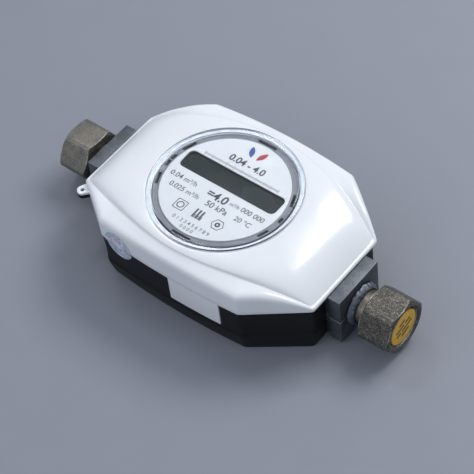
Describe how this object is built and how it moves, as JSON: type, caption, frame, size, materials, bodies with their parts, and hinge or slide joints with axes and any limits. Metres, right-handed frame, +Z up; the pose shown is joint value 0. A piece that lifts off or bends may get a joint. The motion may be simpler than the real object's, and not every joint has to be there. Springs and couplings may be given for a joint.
{
  "type": "gas meter",
  "caption": "Flat household ultrasonic gas meter: octagonal white cover on a black base, round register window with display, and a loose union nut in line at each end.",
  "frame": {"origin": "on the surface that the base stands on, under the middle of the housing", "axes": "+X along the pipe axis from inlet to outlet, +Z up through the window"},
  "size_m": [0.2432, 0.1135, 0.0588],
  "materials": {
    "white_cover": "high gloss, moulded",
    "black_base": "satin, moulded",
    "clear_lens": "polished clear polycarbonate",
    "grey_frame": "satin",
    "dial_print": "printed sheet, semi-matte",
    "lcd_glass": "glossy, unpowered",
    "circuit_board": "solder mask",
    "body_steel": "blasted and brushed",
    "weld_steel": "heat-tinted bead",
    "nut_steel": "nickel plated, handled",
    "brass": "dull",
    "screw_steel": "zinc plated",
    "rubber": "matte",
    "silicone": "matte, translucent white",
    "fibre_gasket": "matte, compressed fibre",
    "plug_yellow": "satin, moulded",
    "seal_foil": "diffractive foil",
    "battery_sleeve": "shrink sleeve",
    "lead": "PVC insulation"
  },
  "bodies": {
    "meter": {"base_housing": "black_base", "base_screw_1": "screw_steel", "base_screw_2": "screw_steel", "base_screw_3": "screw_steel", "base_screw_4": "screw_steel", "battery": "battery_sleeve", "battery_cradle": "grey_frame", "battery_lead": "lead", "board_screw_1": "screw_steel", "board_screw_2": "screw_steel", "board_screw_3": "screw_steel", "board_screw_4": "screw_steel", "body_bolt_1": "screw_steel", "body_bolt_2": "screw_steel", "body_bolt_3": "screw_steel", "body_bolt_4": "screw_steel", "cover_screw_1": "screw_steel", "cover_screw_2": "screw_steel", "cover_screw_3": "screw_steel", "cover_screw_4": "screw_steel", "dial_plate": "dial_print", "flow_body_gasket_back": "fibre_gasket", "flow_body_gasket_front": "fibre_gasket", "flow_body_lower": "body_steel", "flow_body_upper": "body_steel", "flow_straightener": "grey_frame", "housing_gasket": "rubber", "inlet_nipple": "nut_steel", "inlet_sealing_gasket": "fibre_gasket", "inlet_transducer": "screw_steel", "inlet_transducer_lead": "lead", "inlet_transducer_o_ring": "rubber", "inlet_transducer_retainer": "brass", "inlet_weld_bead": "weld_steel", "lcd_holder": "grey_frame", "lcd_panel": "lcd_glass", "lens_gasket": "silicone", "main_board": "circuit_board", "outlet_nipple": "nut_steel", "outlet_sealing_gasket": "fibre_gasket", "outlet_transducer": "screw_steel", "outlet_transducer_lead": "lead", "outlet_transducer_o_ring": "rubber", "outlet_transducer_retainer": "brass", "outlet_weld_bead": "weld_steel", "probe_lead": "lead", "register_ring": "grey_frame", "tamper_seal": "seal_foil", "temperature_probe": "brass", "top_cover": "white_cover", "window_lens": "clear_lens"},
    "inlet_slip": {"inlet_slip_washer": "brass"},
    "inlet_union": {"inlet_nut": "nut_steel"},
    "inlet_plug": {"inlet_transport_plug": "plug_yellow"},
    "outlet_slip": {"outlet_slip_washer": "brass"},
    "outlet_union": {"outlet_nut": "nut_steel"},
    "outlet_plug": {"outlet_transport_plug": "plug_yellow"}
  },
  "joints": [
    {"name": "inlet_nut_slide", "type": "slide", "parent": "meter", "child": "inlet_slip", "axis": [-1, 0, 0], "range_m": [-0.0016, 0.005]},
    {"name": "inlet_nut_spin", "type": "hinge", "parent": "inlet_slip", "child": "inlet_union", "pos_m": [-0.1093, 0, 0.02], "axis": [-1, 0, 0], "continuous": true},
    {"name": "inlet_plug_pull", "type": "slide", "parent": "inlet_union", "child": "inlet_plug", "axis": [-1, 0, 0], "range_m": [0, 0.04]},
    {"name": "outlet_nut_slide", "type": "slide", "parent": "meter", "child": "outlet_slip", "axis": [1, 0, 0], "range_m": [-0.0056, 0.001]},
    {"name": "outlet_nut_spin", "type": "hinge", "parent": "outlet_slip", "child": "outlet_union", "pos_m": [0.1133, 0, 0.02], "axis": [1, 0, 0], "continuous": true},
    {"name": "outlet_plug_pull", "type": "slide", "parent": "outlet_union", "child": "outlet_plug", "axis": [1, 0, 0], "range_m": [0, 0.04]}
  ]
}
